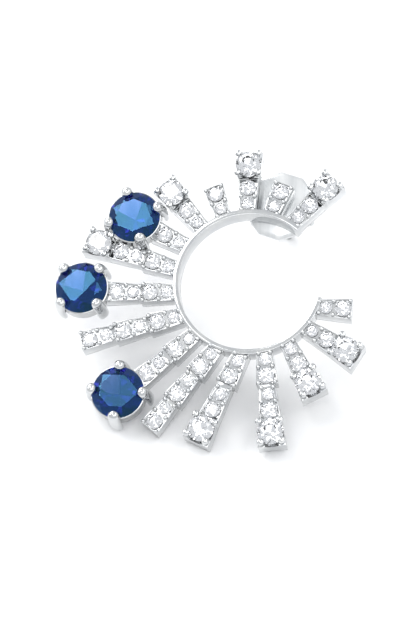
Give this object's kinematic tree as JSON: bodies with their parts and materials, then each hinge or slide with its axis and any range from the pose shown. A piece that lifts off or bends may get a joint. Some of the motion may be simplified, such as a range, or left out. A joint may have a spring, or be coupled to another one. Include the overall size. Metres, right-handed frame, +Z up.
{
  "type": "sunburst open-hoop stud earring",
  "caption": "Open hoop earring with stone-set rays fanning outward, raised blue stones on some tips, a straight post and a push-back clutch.",
  "frame": {"origin": "centre of the footprint, on the surface that the earring lies on", "axes": "+Z up, +Y from the lowest ray tips toward the raised side with the post, +X to the open mouth of the hoop"},
  "size_m": [0.0298, 0.0284, 0.0133],
  "materials": {
    "silver": "polished, rhodium-plated silver",
    "clear_stone": "round brilliant, clear",
    "blue_stone": "round brilliant, deep blue"
  },
  "bodies": {
    "earring": {"silver_body": "silver", "clear_stone_1": "clear_stone", "clear_stone_2": "clear_stone", "clear_stone_3": "clear_stone", "clear_stone_4": "clear_stone", "clear_stone_5": "clear_stone", "clear_stone_6": "clear_stone", "clear_stone_7": "clear_stone", "clear_stone_8": "clear_stone", "sapphire_1": "blue_stone", "sapphire_2": "blue_stone", "sapphire_3": "blue_stone"},
    "clutch": {"ear_clutch": "silver"}
  },
  "joints": [
    {"name": "clutch_slide", "type": "slide", "parent": "earring", "child": "clutch", "axis": [0.0704, 0.354, -0.9326], "range_m": [0, 0.0105]}
  ]
}
